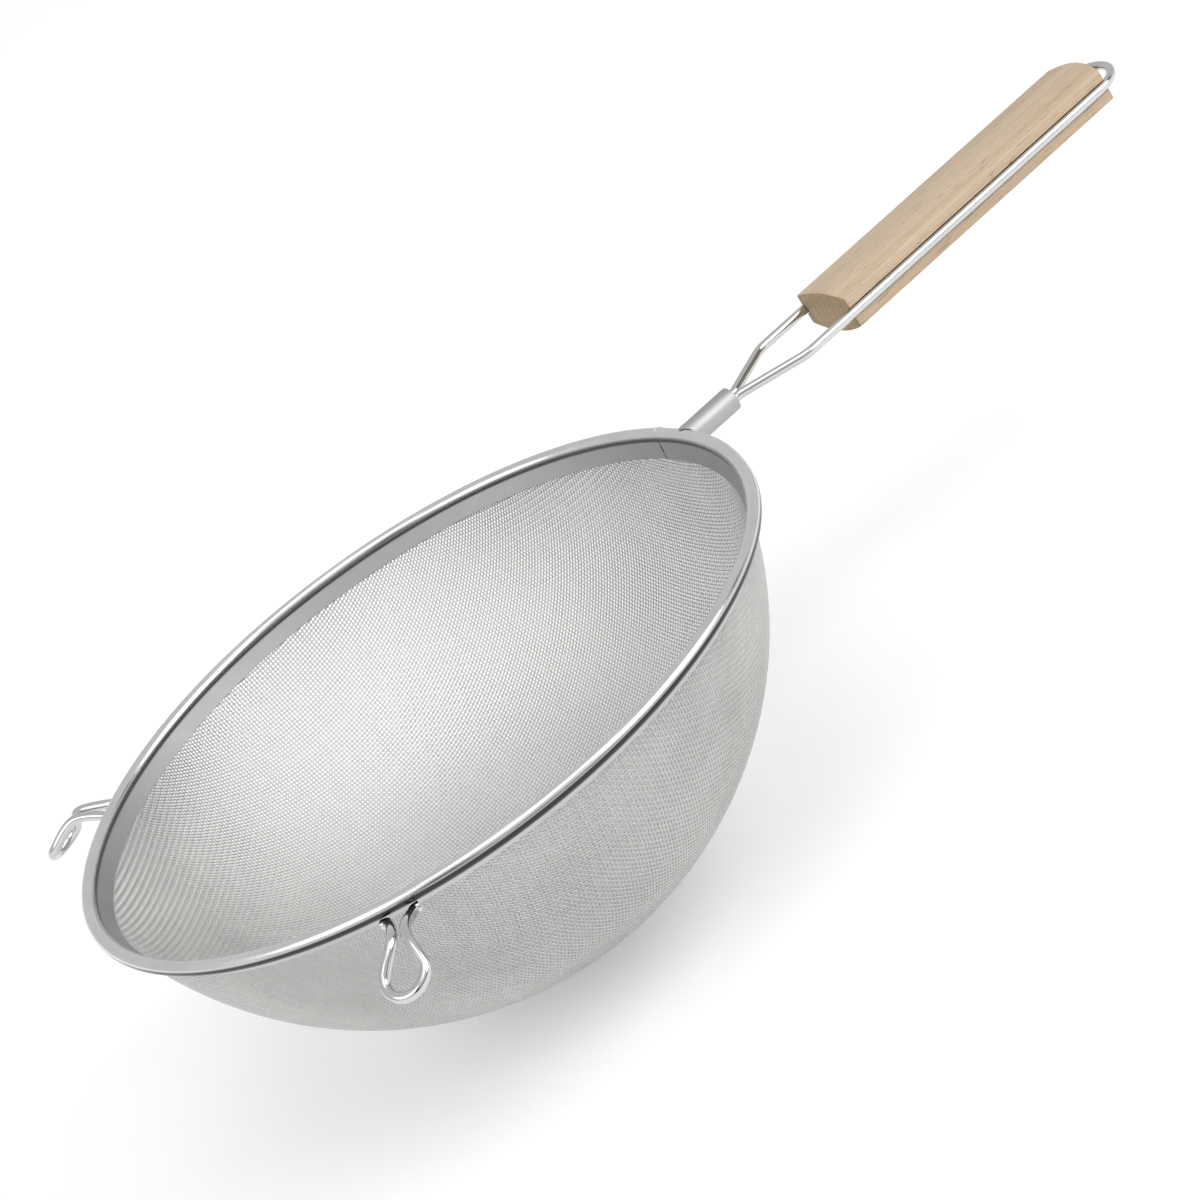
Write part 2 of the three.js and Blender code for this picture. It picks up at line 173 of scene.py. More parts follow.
# Derived sizes
bead_inside = HOOP_WIRE / 2 + FIT_GAP
bead_radius = bead_inside + BAND_SHEET
bead_circle = RIM_DIAMETER / 2 - bead_radius
flange_inside = CLOTH_THICKNESS / 2 + FIT_GAP
flange_outside = flange_inside + BAND_SHEET
grip_end = GRIP_STRAIGHT + GRIP_NOSE
wire_pair_offset = (HANDLE_WIRE + FIT_GAP) / 2
sleeve_bore = wire_pair_offset + HANDLE_WIRE / 2 + FIT_GAP
spread_start = SLEEVE_LENGTH + SPREAD_LEAD
spread_end = spread_start + SPREAD_LENGTH
grip_start = spread_end + GRIP_SETBACK
loop_centre = grip_start + grip_end + LOOP_GAP + HANDLE_WIRE / 2 - GRIP_WIDTH / 2

# The strip leans out from its lower edge, the lip, up to the bead. Below the lip the cloth is a sphere.
band_tilt = math.radians(BAND_TILT)
strip_length = bead_radius + INNER_FLANGE
lip_radius = bead_circle - strip_length * math.sin(band_tilt)
lip_height = -strip_length * math.cos(band_tilt)
cloth_depth = BOWL_DEPTH - CLOTH_THICKNESS / 2
lip_to_base = lip_radius**2 + lip_height**2 - (BASE_FLAT_DIAMETER / 2) ** 2 - cloth_depth**2
sphere_height = lip_to_base / (2 * (cloth_depth + lip_height))
sphere_radius = math.hypot(lip_radius, sphere_height - lip_height)
lip_angle = math.acos((sphere_height - lip_height) / sphere_radius)


# Shape helpers

def unit(vectors):
    return vectors / np.linalg.norm(vectors, axis=-1, keepdims=True)


def steps_along(points):
    """Distance travelled at each point of a line."""
    lengths = np.linalg.norm(np.diff(points, axis=0), axis=-1)
    return np.concatenate([[0.0], np.cumsum(lengths)])


def turn_z(points, degrees):
    angle = math.radians(degrees)
    cosine, sine = math.cos(angle), math.sin(angle)
    return points @ np.array([[cosine, sine, 0], [-sine, cosine, 0], [0, 0, 1]])


def turned(profile, around):
    """Radii and heights, each turned about the bowl's axis by its own angle."""
    radius, height = profile.T
    return np.stack([radius * np.cos(around), radius * np.sin(around), height], 1)


def arc(x, y, radius, start, end, steps):
    angles = np.linspace(start, end, steps + 1)
    return np.stack([x + radius * np.cos(angles), y + radius * np.sin(angles)], 1)


def grid_quads(rows, columns):
    """Quads of a grid that closes round its columns: each corner's row, column and wrapped index."""
    row, column = np.meshgrid(np.arange(rows - 1), np.arange(columns), indexing="ij")
    corner_rows = np.stack([row, row, row + 1, row + 1], -1).reshape(-1, 4)
    corner_columns = np.stack([column, column + 1, column + 1, column], -1).reshape(-1, 4)
    return corner_rows, corner_columns, corner_rows * columns + corner_columns % columns


def tube(path, radius, sides):
    """Rings of points round a line, carried along it without twisting."""
    tangents = unit(np.gradient(path, axis=0))
    side = np.cross(tangents[0], [0.0, 0.0, 1.0])
    angles = np.linspace(0, 2 * math.pi, sides, endpoint=False)
    rings = []
    for place, tangent in zip(path, tangents):
        side = unit(side - tangent * (side @ tangent))
        across = np.cross(tangent, side)
        ring = np.cos(angles)[:, None] * side + np.sin(angles)[:, None] * across
        rings.append(place + radius * ring)
    return np.array(rings)


def make_piece(name, node, rings, material, sharp=40):
    """A named piece from rings of points, closed at both ends, that stands for a CAD node.

    UVs run along and around, in metres. Edges that turn by more than the sharp angle stay crisp.
    """
    rows, columns = rings.shape[:2]
    corner_rows, corner_columns, quads = grid_quads(rows, columns)
    along = steps_along(rings.mean(1)) * MM
    closed = np.concatenate([rings[rows // 2], rings[rows // 2, :1]])
    around = steps_along(closed) * MM
    uvs = np.stack([along[corner_rows], around[corner_columns]], -1).reshape(-1, 2)
    faces = quads.tolist()
    faces.append(list(range(columns))[::-1])
    faces.append([(rows - 1) * columns + i for i in range(columns)])
    mesh = bpy.data.meshes.new(name)
    mesh.from_pydata(rings.reshape(-1, 3) * MM, [], faces)
    finish_piece(name, node, mesh, uvs, material, sharp)


def place_object(name, data):
    thing = bpy.data.objects.new(name, data)
    bpy.context.scene.collection.objects.link(thing)
    return thing


def finish_piece(name, node, mesh, uvs, material, sharp):
    """The shared end of every piece. Faces that have no UVs of their own, the end caps, keep zeros."""
    layer = mesh.uv_layers.new(name="lay")
    flat = np.zeros((len(mesh.loops), 2))
    flat[: len(uvs)] = uvs
    layer.data.foreach_set("uv", flat.ravel())
    mesh.polygons.foreach_set("use_smooth", np.ones(len(mesh.polygons), bool))
    if sharp:
        mesh.set_sharp_from_angle(angle=math.radians(sharp))
    mesh.materials.append(material)
    piece = place_object(name, mesh)
    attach(piece, "root")
    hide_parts(node)


# Bowl cloth

def cloth_net(half_count):
    """Crossings of the woven wires on a unit sphere, as directions from its centre.

    Two wires cross at the bottom along X and Y. Every further crossing closes a rhombus of equal sides,
    which is how cloth with wires of fixed pitch lies on a ball.
    """
    step = MESH_PITCH / sphere_radius
    quarter = np.full((half_count + 1, half_count + 1, 3), np.nan)
    angles = np.arange(half_count + 1) * step
    zeros = np.zeros_like(angles)
    quarter[:, 0] = np.stack([np.sin(angles), zeros, -np.cos(angles)], 1)
    quarter[0, :] = np.stack([zeros, np.sin(angles), -np.cos(angles)], 1)
    for i in range(half_count):
        for j in range(half_count):
            if quarter[i, j, 2] > 0:
                continue
            mirror = np.cross(quarter[i + 1, j], quarter[i, j + 1])
            mirror /= np.linalg.norm(mirror)
            corner = quarter[i, j]
            quarter[i + 1, j + 1] = corner - 2 * (corner @ mirror) * mirror
    half = np.concatenate([quarter[:0:-1] * [-1, 1, 1], quarter])
    return np.concatenate([half[:, :0:-1] * [1, -1, 1], half], axis=1)


def cloth_surface(directions):
    """Points and outward normals of the cloth, from directions on the sphere.

    Past the lip the same lengths run straight up the leaning strip, with a short bend between the two.
    """
    polar = np.arccos(-directions[:, 2])
    around = np.arctan2(directions[:, 1], directions[:, 0])
    past_lip = (polar - lip_angle) * sphere_radius
    sine, cosine = math.sin(band_tilt), math.cos(band_tilt)
    ball_normal = np.stack([np.sin(polar), -np.cos(polar)], 1)
    ball = sphere_radius * ball_normal + [0, sphere_height]
    strip = np.array([lip_radius, lip_height]) + past_lip[:, None] * [sine, cosine]
    share = np.clip(past_lip / (2 * CLOTH_BEND) + 0.5, 0, 1)[:, None]
    profile = ball + share * (strip - ball)
    normal = unit(ball_normal + share * (np.array([cosine, -sine]) - ball_normal))
    profile[:, 1] = np.maximum(profile[:, 1], -cloth_depth)
    profile[:, 1] += BOWL_DEPTH
    return turned(profile, around), turned(normal, around)


def cloth_wire(directions, lifts):
    """Rings of four points along one wire that passes over and under its neighbours."""
    places, normals = cloth_surface(directions)
    path = places + normals * lifts[:, None] * MESH_WIRE / 2
    tangents = unit(np.gradient(path, axis=0))
    across = np.cross(tangents, normals)
    corners = np.radians([45, 135, 225, 315])[None, :, None]
    ring = np.cos(corners) * normals[:, None] + np.sin(corners) * across[:, None]
    return path[:, None] + MESH_CORNER * MESH_WIRE * ring


def cloth_piece(name, wires, material):
    """One piece of cloth from many separate wires. UVs run along each wire and count the wires."""
    points, faces, uvs = [], [], []
    first = 0
    for number, rings in wires:
        rows = len(rings)
        corner_rows, _, quads = grid_quads(rows, 4)
        along = steps_along(rings.mean(1)) * MM
        count = np.full(corner_rows.shape, float(number))
        points.append(rings.reshape(-1, 3) * MM)
        faces.append(quads + first)
        uvs.append(np.stack([along[corner_rows], count], -1).reshape(-1, 2))
        first += rows * 4
    mesh = bpy.data.meshes.new(name)
    mesh.from_pydata(np.concatenate(points), [], np.concatenate(faces).tolist())
    finish_piece(name, "mesh_bowl", mesh, np.concatenate(uvs), material, None)


def weave_bowl(material):
    """Two sets of crossing wires, each wire cut off where the cloth ends inside the rim."""
    edge_angle = lip_angle + (strip_length - MESH_END) / sphere_radius
    half_count = int(edge_angle * sphere_radius / MESH_PITCH) + 2
    net = cloth_net(half_count)
    inside = net[..., 2] < -math.cos(edge_angle)
    parity = np.indices(inside.shape).sum(0) % 2 * 2.0 - 1
    for family, label in enumerate(("warp", "weft")):
        lines = net.swapaxes(0, family)
        kept = inside.swapaxes(0, family)
        lifts = parity.swapaxes(0, family) * (1 if family else -1)
        wires = []
        for number in range(len(lines)):
            mask = kept[number]
            if mask.sum() > 2:
                wires.append((number, cloth_wire(lines[number][mask], lifts[number][mask])))
        size = math.ceil(len(wires) / CLOTH_PARTS)
        for part in range(CLOTH_PARTS):
            name = f"mesh_{label}_{part + 1}"
            cloth_piece(name, wires[part * size : (part + 1) * size], material)


# Rim

def strip_point(distance, offset):
    """Radius and height, from the bead's middle, at a distance down the leaning strip."""
    sine, cosine = math.sin(band_tilt), math.cos(band_tilt)
    return np.array([bead_circle - distance * sine + offset * cosine, -distance * cosine - offset * sine])


def flange_face(length, offset, bead_face, steps):
    top = math.sqrt(bead_face**2 - offset**2)
    distances = np.linspace(bead_radius + length, top, steps + 1)[:-1]
    return np.array([strip_point(d, offset) for d in distances])


def bead_arc(radius, offset, steps):
    throat = math.acos(offset / radius)
    return arc(bead_circle, 0, radius, -band_tilt - throat, math.pi + throat - band_tilt, steps)


def band_outline():
    """The folded strip's section, from the outer flange over the bead to the inner one and back."""
    return np.concatenate([
        flange_face(OUTER_FLANGE, flange_outside, bead_radius, OUTER_STEPS),
        bead_arc(bead_radius, flange_outside, BEAD_STEPS),
        flange_face(INNER_FLANGE, -flange_outside, bead_radius, INNER_STEPS)[::-1],
        flange_face(INNER_FLANGE, -flange_inside, bead_inside, HIDDEN_FLANGE_STEPS),
        bead_arc(bead_inside, flange_inside, HIDDEN_BEAD_STEPS)[::-1],
        flange_face(OUTER_FLANGE, flange_inside, bead_inside, HIDDEN_FLANGE_STEPS)[::-1],
    ])


def waves(turn, swings):
    return sum(height * math.sin(number * turn + start) for height, number, start in swings)


def rim_band(material):
    """The folded strip swept round from one side of its slanted seam to the other, faintly wavy."""
    outline = band_outline()[::-1]
    half_gap = SEAM_GAP / 2 / bead_circle
    turns = np.linspace(half_gap, 2 * math.pi - half_gap, RIM_STEPS + 1)
    below_bead = np.clip(outline[:, 1] / lip_height, 0, 1)
    rings = []
    for turn in turns:
        from_seam = min(turn, 2 * math.pi - turn) * bead_circle
        lean = SEAM_SLANT if turn < math.pi else SEAM_SLANT + SEAM_OPEN
        slant = lean * math.exp(-from_seam / SEAM_REACH) / bead_circle
        angles = math.radians(SEAM_ANGLE) + turn - slant * below_bead
        lip = SEAM_LIP * math.exp(-((from_seam / SEAM_LIP_REACH) ** 2))
        radius = outline[:, 0] + waves(turn, RIM_SWAY) + lip * (outline[:, 0] > bead_circle)
        height = BOWL_DEPTH + outline[:, 1] + waves(turn, RIM_SAG)
        rings.append(turned(np.column_stack([radius, height]), angles))
    make_piece("rim_strip", "rim_band", np.array(rings), material, sharp=30)


def rim_painted_shade():
    """Painted shade round the strip's section: the dull inner flange, the crease and the bead's
    underside.

    Each stop is a distance round the section, a tone of painted shade and an added roughness.
    """
    outline = band_outline()[::-1]
    distances = steps_along(np.concatenate([outline, outline[:1]]))
    at_outer = len(outline) - 1 - OUTER_STEPS
    at_inner = at_outer - BEAD_STEPS
    flange_edge = distances[at_inner - INNER_STEPS]
    inner, outer = distances[at_inner], distances[at_outer]
    throat = math.acos(flange_outside / bead_radius)
    inner_angle = math.pi + throat - band_tilt

    def on_bead(degrees):
        return inner + bead_radius * (inner_angle - math.radians(degrees))

    return [
        (0, 1.0, 0),
        # the inner flange: rougher, and darkened with painted shade
        (flange_edge, FLANGE_PAINTED_SHADE, FLANGE_DULL),
        (inner - CREASE_REACH, FLANGE_PAINTED_SHADE, FLANGE_DULL),
        # painted shade in the crease between the inner flange and the bead
        (inner, CREASE_PAINTED_SHADE, FLANGE_DULL),
        (on_bead(BEAD_SHADE_FULL[0]), CREASE_PAINTED_SHADE, 0),
        (on_bead(BEAD_BRIGHT[0]), 1.0, 0),
        (on_bead(BEAD_BRIGHT[1]), 1.0, 0),
        # painted shade on the bead's underside, running on over the outer flange
        (on_bead(BEAD_SHADE_FULL[1]), UNDERSIDE_PAINTED_SHADE, 0),
        (outer + UNDER_REACH, UNDERSIDE_PAINTED_SHADE, 0),
        # painted shade on the outer flange
        (outer + OUTER_REACH, OUTER_PAINTED_SHADE, 0),
        (distances[-1], OUTER_PAINTED_SHADE, 0),
    ]


# Rest hooks

def smooth_line(points, steps):
    """A smooth curve through points, whose speed follows the root of their spacing."""
    ends = [2 * points[0] - points[1], *points, 2 * points[-1] - points[-2]]
    amounts = np.linspace(0, 1, steps, endpoint=False)[:, None]
    line = []
    for before, start, end, after in zip(ends, ends[1:], ends[2:], ends[3:]):
        spans = (start - before, end - start, after - end)
        t0, t1, t2 = (math.sqrt(np.linalg.norm(span)) for span in spans)
        leave = t1 * ((start - before) / t0 - (end - before) / (t0 + t1) + (end - start) / t1)
        reach = t1 * ((end - start) / t1 - (after - start) / (t1 + t2) + (after - end) / t2)
        cubic = 2 * start - 2 * end + leave + reach
        square = 3 * end - 3 * start - 2 * leave - reach
        line.append(start + amounts * (leave + amounts * (square + amounts * cubic)))
    return np.concatenate([*line, [points[-1]]])


def hook_path(hook):
    """A hook's middle line: the legs climb a little, then the loop falls, twists and leans."""
    reach = hook["reach"]
    tip = reach + HOOK_TAIL
    loop = HOOK_LOOP_WIDTH / 2
    half = np.concatenate([
        arc(HOOK_FOOT_BEND, HOOK_FOOT_SPREAD / 2, HOOK_FOOT_BEND, math.pi, 1.5 * math.pi, 2),
        [[reach, HOOK_NECK_WIDTH / 2]],
        arc(tip - loop, 0, loop, math.pi / 2, 0, 3),
    ])
    flat = np.concatenate([half, half[-2::-1] * [1, -1]])
    rise, fall = math.radians(HOOK_RISE), math.radians(-HOOK_SLOPE)
    twist = math.radians(hook["twist"])
    neck = np.array([reach * math.cos(rise), hook["shift"], reach * math.sin(rise)])
    points = []
    for out, width in flat:
        if out <= reach:
            aside = width + hook["shift"] * out / reach
            points.append(np.array([out * math.cos(rise), aside, out * math.sin(rise)]))
            continue
        beyond = out - reach
        lifted = width * math.sin(twist)
        tail = np.array([
            beyond * math.cos(fall) - lifted * math.sin(fall),
            width * math.cos(twist),
            beyond * math.sin(fall) + lifted * math.cos(fall),
        ])
        points.append(neck + turn_z(tail, hook["lean"]))
    return smooth_line(points, HOOK_STEPS)


def rest_hook(name, node, hook, material):
    """A hook whose turned-out ends lie in the crease between the bead and the outer flange."""
    from_bead = bead_radius + FIT_GAP + HOOK_WIRE / 2
    from_cloth = flange_outside + FIT_GAP + HOOK_WIRE / 2
    seat = strip_point(math.sqrt(from_bead**2 - from_cloth**2), from_cloth)
    path = hook_path(hook) + [seat[0], 0, BOWL_DEPTH + seat[1]]
    rings = turn_z(tube(path, HOOK_WIRE / 2, HOOK_SIDES), hook["angle"])
    make_piece(name, node, rings, material)


# Handle

def on_handle(points):
    """From the handle's own frame, whose X runs out along it, to the part's frame."""
    drop = math.radians(HANDLE_DROP)
    x, y, z = np.moveaxis(points, -1, 0)
    out = x * math.cos(drop) + z * math.sin(drop)
    up = z * math.cos(drop) - x * math.sin(drop)
    return np.stack([out + RIM_DIAMETER / 2, y, up + BOWL_DEPTH - HANDLE_LOWER], -1)


def bend(before, corner, after, reach, steps):
    """A rounded corner that starts and ends at a reach from it."""
    start = corner + reach * unit(before - corner)
    end = corner + reach * unit(after - corner)
    t = np.linspace(0, 1, steps + 1)[:, None]
    return (1 - t) ** 2 * start + 2 * t * (1 - t) * corner + t**2 * end


def rim_face(y, z):
    """Where the handle's pieces stop short of the rim, in the handle's frame."""
    height = z - HANDLE_LOWER
    reach = bead_radius + FIT_GAP
    offset = flange_outside + FIT_GAP
    sine, cosine = math.sin(band_tilt), math.cos(band_tilt)
    bead = bead_circle + np.sqrt(np.maximum(reach**2 - height**2, 0))
    distance = (-height - offset * sine) / cosine
    flange = bead_circle - distance * sine + offset * cosine
    radius = np.where(height < -reach, flange, bead)
    return np.sqrt(radius**2 - y**2) - RIM_DIAMETER / 2


def coped(ring):
    """The same ring of points, set back to the rim's face."""
    return np.column_stack([rim_face(ring[:, 1], ring[:, 2]), ring[:, 1:]])


def handle_line():
    """Middle line of the whole handle wire, from one end at the rim round to the other."""
    half = GRIP_WIDTH / 2
    corners = np.array([
        [0, wire_pair_offset], [spread_start, wire_pair_offset], [spread_end, half], [loop_centre, half],
    ])
    lead = np.linspace(corners[0], corners[1] - [SPREAD_LEAD, 0], LEAD_POINTS)[:-1]
    fork = bend(*corners[:3], SPREAD_LEAD, FORK_STEPS)
    shoulder = bend(*corners[1:], SPREAD_BEND, SHOULDER_STEPS)
    straight = np.linspace(shoulder[-1], corners[3], STRAIGHT_POINTS)[1:-1]
    loop = arc(loop_centre, 0, half, math.pi / 2, -math.pi / 2, LOOP_STEPS)
    side = np.concatenate([lead, fork, shoulder, straight])
    flat = np.concatenate([side, loop, side[::-1] * [1, -1]])
    return np.column_stack([flat, np.zeros(len(flat))])


def handle_wire(material):
    rings = tube(handle_line(), HANDLE_WIRE / 2, HANDLE_SIDES)
    rings = np.concatenate([[coped(rings[0])], rings, [coped(rings[-1])]])
    make_piece("handle_bent_wire", "handle_wire", on_handle(rings), material)


def neck_sleeve(material):
    """A strip rolled round both wires. Its edges meet underneath in a thin slit."""
    outside = sleeve_bore + SLEEVE_SHEET
    slit = SLEEVE_SLIT / 2 / outside
    start, end = -math.pi / 2 + slit, 1.5 * math.pi - slit
    worn = SLEEVE_SHEET / 3
    stations = [
        (0, 0),
        (SLEEVE_LENGTH - worn, 0),
        (SLEEVE_LENGTH - worn / 3, worn / 3),
        (SLEEVE_LENGTH, worn),
    ]
    rings = []
    for along, inset in stations:
        section = np.concatenate([
            arc(0, 0, outside - inset, start, end, SLEEVE_STEPS),
            arc(0, 0, sleeve_bore, end, start, BORE_STEPS),
        ])
        rings.append(np.column_stack([np.full(len(section), along), section]))
    rings.insert(0, coped(rings[0]))
    make_piece("rolled_sleeve", "neck_sleeve", on_handle(np.array(rings)), material)


# Grip

def face_radius(rise):
    """Radius of a face that is as wide as the grip and rises by so much in the middle."""
    half = GRIP_WIDTH / 2
    return (half**2 + rise**2) / (2 * rise)


def grip_quarter(rise, wire_y):
    """A quarter of the grip's section, from the middle of a rounded face to the middle of the groove."""
    half = GRIP_WIDTH / 2
    groove = HANDLE_WIRE / 2 + FIT_GAP
    crown = face_radius(rise)
    middle = GRIP_SIDE / 2 + rise - crown
    tilt = math.asin((half - EDGE_ROUND) / (crown - EDGE_ROUND))
    face = arc(0, middle, crown, math.pi / 2, math.pi / 2 - tilt, GRIP_FACE_STEPS)[:-1]
    shoulder = middle + (crown - EDGE_ROUND) * math.cos(tilt)
    corner = arc(half - EDGE_ROUND, shoulder, EDGE_ROUND, math.pi / 2 - tilt, 0, GRIP_CORNER_STEPS)
    mouth = math.acos((half - wire_y) / groove)
    channel = arc(wire_y, 0, groove, mouth, math.pi, GROOVE_STEPS)
    side = np.linspace(corner[-1], channel[0], GRIP_SIDE_POINTS)[1:-1]
    return np.concatenate([face, corner, side, channel])


def grip_section(wire_y):
    upper = grip_quarter(GRIP_CROWN, wire_y)
    lower = grip_quarter(GRIP_BELLY, wire_y) * [1, -1]
    right = np.concatenate([upper, lower[-2::-1]])
    return np.concatenate([right, right[-2:0:-1] * [-1, 1]])[::-1]


def grip_slice(x, inset):
    """The grip's outline at a place along it, drawn in by an inset. Columns are along, across and up."""
    beyond = max(grip_start + x - loop_centre, 0)
    section = grip_section(math.sqrt((GRIP_WIDTH / 2) ** 2 - beyond**2))
    return np.column_stack([np.full(len(section), float(x)), section - inset * unit(section)])


def nose_end(y):
    """How far along the grip its blunt nose reaches, at a distance across from the middle."""
    half = GRIP_WIDTH / 2
    tip_centre = grip_end - GRIP_NOSE_RADIUS
    to_corner = math.hypot(GRIP_STRAIGHT - tip_centre, half)
    corner_angle = math.atan2(half, GRIP_STRAIGHT - tip_centre)
    spread = corner_angle - math.acos(GRIP_NOSE_RADIUS / to_corner)
    tip_y = GRIP_NOSE_RADIUS * math.sin(spread)
    tip_x = tip_centre + GRIP_NOSE_RADIUS * math.cos(spread)
    on_tip = tip_centre + np.sqrt(GRIP_NOSE_RADIUS**2 - np.minimum(np.abs(y), tip_y) ** 2)
    on_flank = np.maximum(np.abs(y) - tip_y, 0) / (half - tip_y)
    return on_tip - on_flank * (tip_x - GRIP_STRAIGHT)


def wood_grip(material):
    """The grip from its square end to its blunt nose, with both ends' edges worn round."""
    turns = np.radians([0, 30, 60, 90])
    worn = [(EDGE_ROUND * (1 - math.cos(turn)), EDGE_ROUND * (1 - math.sin(turn))) for turn in turns]
    rings = [grip_slice(back, inset) for back, inset in worn]
    slices = np.linspace(EDGE_ROUND, GRIP_STRAIGHT - EDGE_ROUND, GRIP_SLICES)
    rings += [grip_slice(x, 0) for x in slices[1:]]
    for back, inset in worn[::-1]:
        ring = grip_slice(GRIP_STRAIGHT, inset)
        ring[:, 0] = nose_end(ring[:, 1]) - back
        rings.append(ring)
    for share in np.linspace(0.9, 0.1, NOSE_RINGS):
        ring = grip_slice(GRIP_STRAIGHT, EDGE_ROUND) * [1, share, share]
        ring[:, 0] = nose_end(ring[:, 1])
        rings.append(ring)
    rings = on_handle(np.array(rings) + [grip_start, 0, 0])
    make_piece("grip_body", "wood_grip", rings, material, sharp=32)


# Materials

def new_material(name):
    material = bpy.data.materials.new(name)
    material.use_nodes = True
    return material, material.node_tree, material.node_tree.nodes["Principled BSDF"]


def grey(level):
    return (level, level, level, 1)


def own_place(tree):
    """A place in the piece's own frame."""
    return tree.nodes.new("ShaderNodeTexCoord").outputs["Object"]


def own_lay(tree):
    """A place along and around the piece, from its UVs."""
    lay = tree.nodes.new("ShaderNodeUVMap")
    lay.uv_map = "lay"
    return lay.outputs["UV"]


def calculate(tree, operation, *values):
    """The result of a sum over sockets and plain numbers."""
    node = tree.nodes.new("ShaderNodeMath")
    node.operation = operation
    for socket, value in zip(node.inputs, values):
        if isinstance(value, float):
            socket.default_value = value
        else:
            tree.links.new(value, socket)
    return node.outputs["Value"]


def stretched_noise(tree, source, scale, size, detail):
    """Noise drawn out along the axes whose scale is small. Scale times size is in grains per metre."""
    mapping = tree.nodes.new("ShaderNodeMapping")
    mapping.inputs["Scale"].default_value = scale
    tree.links.new(source, mapping.inputs["Vector"])
    noise = tree.nodes.new("ShaderNodeTexNoise")
    noise.inputs["Scale"].default_value = size
    noise.inputs["Detail"].default_value = detail
    tree.links.new(mapping.outputs["Vector"], noise.inputs["Vector"])
    return noise.outputs["Fac"]


def ramp(tree, source, *stops):
    """Colours or grey levels along a factor."""
    node = tree.nodes.new("ShaderNodeValToRGB")
    elements = node.color_ramp.elements
    while len(elements) < len(stops):
        elements.new(0.5)
    for element, (position, colour) in zip(elements, stops):
        element.position = position
        element.color = (*colour, 1) if isinstance(colour, tuple) else grey(colour)
    tree.links.new(source, node.inputs["Fac"])
    return node.outputs["Color"]


def blend(tree, mode, amount, first, second):
    node = tree.nodes.new("ShaderNodeMix")
    node.data_type = "RGBA"
    node.blend_type = mode
    if isinstance(amount, float):
        node.inputs["Factor"].default_value = amount
    else:
        tree.links.new(amount, node.inputs["Factor"])
    tree.links.new(first, node.inputs["A"])
    tree.links.new(second, node.inputs["B"])
    return node.outputs["Result"]


def raise_surface(tree, shader, height, strength, distance):
    bump = tree.nodes.new("ShaderNodeBump")
    bump.inputs["Strength"].default_value = strength
    bump.inputs["Distance"].default_value = distance
    tree.links.new(height, bump.inputs["Height"])
    tree.links.new(bump.outputs["Normal"], shader.inputs["Normal"])


def around_section(tree, lay, length):
    """How far round a piece's section a place lies, from 0 to 1."""
    across = tree.nodes.new("ShaderNodeSeparateXYZ")
    tree.links.new(lay, across.inputs["Vector"])
    return calculate(tree, "DIVIDE", across.outputs["Y"], float(length * MM))


def steel(name, dark, light, smooth, rough, line_width, section=()):
    """Polished steel with fine lines along the piece and faint clouds.

    Section stops are a distance round the piece, a painted shade that darkens it there and added
    roughness.
    """
    material, tree, shader = new_material(name)
    lay = own_lay(tree)
    lines = stretched_noise(tree, lay, (12, 1 / (line_width * MM), 1), 1, 3)
    clouds = stretched_noise(tree, own_place(tree), (1, 1, 1), 45, 4)
    tone = blend(tree, "MULTIPLY", 1.0, ramp(tree, lines, (0.3, 0.9), (0.7, 1.0)),
                 ramp(tree, clouds, (0.3, dark), (0.7, light)))
    worn = blend(tree, "ADD", 0.5, ramp(tree, clouds, (0.35, smooth), (0.7, rough)),
                 ramp(tree, lines, (0.4, 0.0), (0.75, 0.1)))
    if section:
        length = section[-1][0]
        share = around_section(tree, lay, length)
        tones = [(distance / length, level) for distance, level, _ in section]
        dulls = [(distance / length, dull) for distance, _, dull in section]
        # the section's painted shade, multiplied into the steel's tone
        tone = blend(tree, "MULTIPLY", 1.0, tone, ramp(tree, share, *tones))
        worn = blend(tree, "ADD", 1.0, worn, ramp(tree, share, *dulls))
    tree.links.new(tone, shader.inputs["Base Color"])
    tree.links.new(worn, shader.inputs["Roughness"])
    shader.inputs["Metallic"].default_value = 1
    raise_surface(tree, shader, lines, 0.12, 0.02 * MM)
    return material


def hidden_steel():
    """Plain drawn wire for the hoop inside the bead."""
    material, tree, shader = new_material("drawn_wire")
    clouds = stretched_noise(tree, own_place(tree), (1, 1, 1), 60, 4)
    tree.links.new(ramp(tree, clouds, (0.3, 0.42), (0.7, 0.55)), shader.inputs["Base Color"])
    tree.links.new(ramp(tree, clouds, (0.3, 0.25), (0.7, 0.4)), shader.inputs["Roughness"])
    shader.inputs["Metallic"].default_value = 1
    return material


def cloth_steel():
    """Satin steel of the woven wires. Each wire has a tone of its own, and dulls in patches."""
    material, tree, shader = new_material("woven_steel")
    wires = stretched_noise(tree, own_lay(tree), (18, 0.73, 1), 1, 2)
    clouds = stretched_noise(tree, own_place(tree), (1, 1, 1), 30, 3)
    dark, light = CLOTH_TONES
    tone = blend(tree, "MULTIPLY", 1.0, ramp(tree, wires, (0.25, 0.88), (0.75, 1.0)),
                 ramp(tree, clouds, (0.3, dark), (0.7, light)))
    tree.links.new(tone, shader.inputs["Base Color"])
    tree.links.new(ramp(tree, clouds, (0.3, 0.38), (0.7, 0.50)), shader.inputs["Roughness"])
    shader.inputs["Metallic"].default_value = 1
    return material


